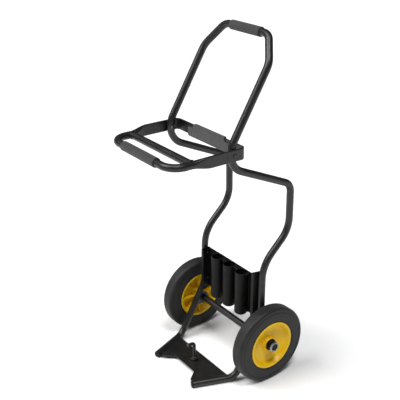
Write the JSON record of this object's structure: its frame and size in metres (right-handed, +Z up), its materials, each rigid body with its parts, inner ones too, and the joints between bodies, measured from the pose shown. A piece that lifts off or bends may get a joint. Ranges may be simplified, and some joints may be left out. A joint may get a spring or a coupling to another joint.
{
  "type": "two-wheeled garden cart",
  "caption": "Bent steel tube garden cart with a padded handle, a tilting bag ring, a tool holder between its legs, a base plate with a hook, and yellow-rimmed wheels.",
  "frame": {"origin": "on the ground, under the middle of the cart's bounding box", "axes": "+Z up, -Y towards the front, where the feet and the ring point; nodes named left are at -X and nodes named right at +X"},
  "size_m": [0.4414, 0.4612, 1.0672],
  "materials": {
    "powder_coat": "satin black powder coat",
    "black_steel": "black oxide",
    "foam_grip": "matte dark grey foam",
    "soft_pad": "matte dark grey foam",
    "black_plastic": "moulded satin black",
    "yellow_plastic": "moulded semi-gloss yellow",
    "tyre": "matte black, lightly worn",
    "chrome": "bright pressed ring"
  },
  "bodies": {
    "frame": {"handle_tube": "powder_coat", "handle_grip": "foam_grip", "axle": "powder_coat", "tool_holder": "black_plastic", "base_plate": "powder_coat", "plate_hook": "black_steel", "hook_bolt": "black_steel", "left_column_tube": "powder_coat", "right_column_tube": "powder_coat", "left_leg_tube": "powder_coat", "right_leg_tube": "powder_coat", "left_joint_screw": "black_steel", "right_joint_screw": "black_steel", "left_foot_cap": "black_plastic", "right_foot_cap": "black_plastic", "left_axle_bracket": "powder_coat", "right_axle_bracket": "powder_coat", "left_pivot_bolt": "black_steel", "right_pivot_bolt": "black_steel", "left_pivot_washer": "black_plastic", "right_pivot_washer": "black_plastic", "left_pivot_nut": "black_steel", "right_pivot_nut": "black_steel", "left_upper_holder_screw": "black_steel", "right_upper_holder_screw": "black_steel", "left_lower_holder_screw": "black_steel", "right_lower_holder_screw": "black_steel", "left_axle_spacer": "black_plastic", "right_axle_spacer": "black_plastic", "left_hub_collar": "black_plastic", "right_hub_collar": "black_plastic", "left_axle_cap": "chrome", "right_axle_cap": "chrome", "left_axle_plug": "black_plastic", "right_axle_plug": "black_plastic"},
    "ring": {"ring_tube": "powder_coat", "ring_strap": "powder_coat", "ring_cross_bar": "powder_coat", "ring_grip": "foam_grip", "ring_back_pad": "soft_pad", "left_stop_pin": "black_steel", "right_stop_pin": "black_steel"},
    "left_wheel": {"left_tyre": "tyre", "left_rim": "yellow_plastic", "left_hub_bush": "black_plastic"},
    "right_wheel": {"right_tyre": "tyre", "right_rim": "yellow_plastic", "right_hub_bush": "black_plastic"}
  },
  "joints": [
    {"name": "left_wheel_spin", "type": "hinge", "parent": "frame", "child": "left_wheel", "pos_m": [-0.186, 0.1056, 0.125], "axis": [1, 0, 0], "continuous": true},
    {"name": "right_wheel_spin", "type": "hinge", "parent": "frame", "child": "right_wheel", "pos_m": [0.186, 0.1056, 0.125], "axis": [1, 0, 0], "continuous": true},
    {"name": "ring_tilt", "type": "hinge", "parent": "frame", "child": "ring", "pos_m": [0, -0.0184, 0.7577], "axis": [-1, 0, 0], "range_deg": [0, 30]}
  ]
}
